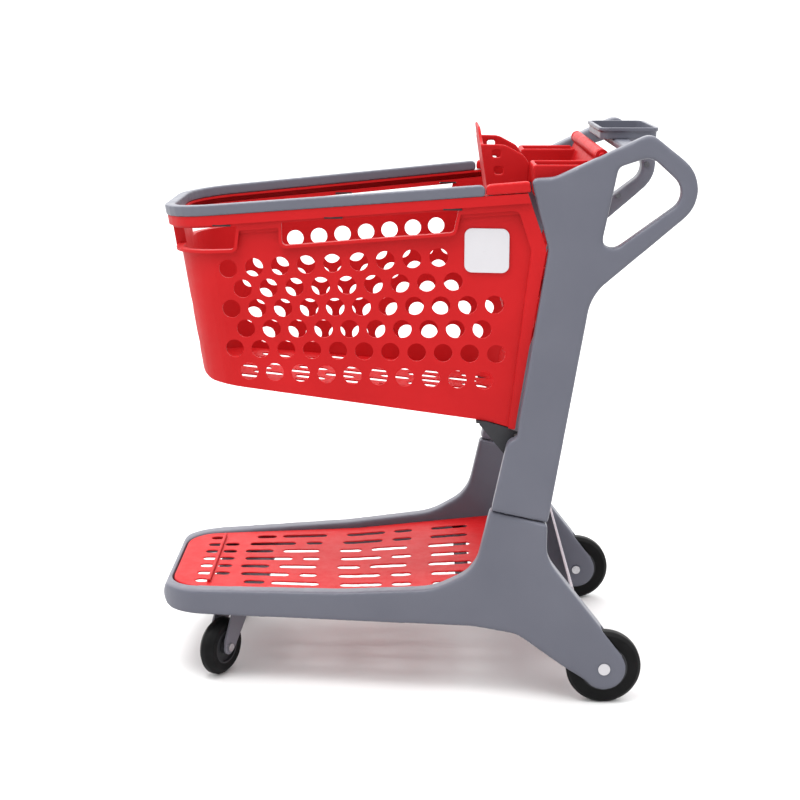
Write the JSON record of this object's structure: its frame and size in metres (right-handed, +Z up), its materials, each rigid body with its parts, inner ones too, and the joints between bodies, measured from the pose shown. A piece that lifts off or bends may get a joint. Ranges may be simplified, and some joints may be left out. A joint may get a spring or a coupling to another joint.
{
  "type": "shopping cart",
  "caption": "Nesting plastic shopping cart with a red basket, grey looped handles, low rack, casters, swing gate and child seat.",
  "frame": {"origin": "on the floor under the centre of the cart's bounding box", "axes": "+X towards the handles (rear), -X towards the nose, -Y to the left side seen by the person pushing, +Z up"},
  "size_m": [0.8965, 0.5474, 0.957],
  "materials": {
    "red_plastic": "satin",
    "grey_plastic": "satin",
    "dark_grey_plastic": "satin",
    "light_grey_plastic": "satin",
    "white_plastic": "gloss",
    "black_tyre": "satin",
    "caster_grey": "satin",
    "black_steel": "satin",
    "zinc_steel": "zinc plated"
  },
  "bodies": {
    "frame": {"base_frame": "grey_plastic", "caster_plates": "zinc_steel", "caster_plate_bolts": "zinc_steel", "leg_panel": "light_grey_plastic", "bottom_rack": "red_plastic", "rack_rod": "red_plastic", "left_upright": "grey_plastic", "right_upright": "grey_plastic", "upright_bolts": "zinc_steel", "handle_screws": "black_steel", "basket": "red_plastic", "basket_brackets": "dark_grey_plastic", "basket_bolts": "zinc_steel", "rim_bumper": "grey_plastic", "rim_clips": "dark_grey_plastic", "left_badge": "white_plastic", "right_badge": "white_plastic", "hinge_tube": "red_plastic", "tube_collars": "red_plastic", "handle_crossbar": "grey_plastic", "tray": "grey_plastic", "tray_screws": "zinc_steel", "rear_axles": "zinc_steel", "rear_axle_caps": "white_plastic", "rear_axle_nuts": "zinc_steel", "bracket_bolts": "zinc_steel", "rim_caps": "red_plastic"},
    "left_rear_wheel": {"left_rear_tyre": "black_tyre", "left_rear_hub": "dark_grey_plastic", "left_rear_bearings": "zinc_steel"},
    "left_caster": {"left_caster_fork": "caster_grey", "left_caster_stem": "zinc_steel", "left_caster_axle": "zinc_steel"},
    "left_caster_wheel": {"left_caster_tyre": "black_tyre", "left_caster_hub": "dark_grey_plastic"},
    "right_rear_wheel": {"right_rear_tyre": "black_tyre", "right_rear_hub": "dark_grey_plastic", "right_rear_bearings": "zinc_steel"},
    "right_caster": {"right_caster_fork": "caster_grey", "right_caster_stem": "zinc_steel", "right_caster_axle": "zinc_steel"},
    "right_caster_wheel": {"right_caster_tyre": "black_tyre", "right_caster_hub": "dark_grey_plastic"},
    "gate": {"gate_panel": "red_plastic"},
    "seat": {"seat_back": "red_plastic", "seat_pins": "zinc_steel"},
    "flap": {"seat_flap": "red_plastic", "flap_pins": "zinc_steel"}
  },
  "joints": [
    {"name": "left_rear_spin", "type": "hinge", "parent": "frame", "child": "left_rear_wheel", "pos_m": [0.319, -0.2525, 0.0635], "axis": [0, 1, 0], "continuous": true},
    {"name": "left_caster_swivel", "type": "hinge", "parent": "frame", "child": "left_caster", "pos_m": [-0.327, -0.108, 0.118], "axis": [0, 0, 1], "continuous": true},
    {"name": "left_caster_spin", "type": "hinge", "parent": "left_caster", "child": "left_caster_wheel", "pos_m": [-0.346, -0.14091, 0.051], "axis": [0.866, -0.5, 0], "continuous": true},
    {"name": "right_rear_spin", "type": "hinge", "parent": "frame", "child": "right_rear_wheel", "pos_m": [0.319, 0.2525, 0.0635], "axis": [0, 1, 0], "continuous": true},
    {"name": "right_caster_swivel", "type": "hinge", "parent": "frame", "child": "right_caster", "pos_m": [-0.327, 0.108, 0.118], "axis": [0, 0, 1], "continuous": true},
    {"name": "right_caster_spin", "type": "hinge", "parent": "right_caster", "child": "right_caster_wheel", "pos_m": [-0.346, 0.14091, 0.051], "axis": [0.866, 0.5, 0], "continuous": true},
    {"name": "gate_swing", "type": "hinge", "parent": "frame", "child": "gate", "pos_m": [0.297, 0, 0.92], "axis": [0, 1, 0], "range_deg": [0, 70]},
    {"name": "seat_fold", "type": "hinge", "parent": "gate", "child": "seat", "pos_m": [0.156, 0, 0.652], "axis": [0, 1, 0], "range_deg": [0, 18]},
    {"name": "flap_fold", "type": "hinge", "parent": "gate", "child": "flap", "pos_m": [0.208, 0, 0.712], "axis": [0, 1, 0], "range_deg": [0, 95]}
  ],
  "couplings": [
    {"joint": "flap_fold", "follows": "seat_fold", "ratio": 5.25}
  ]
}
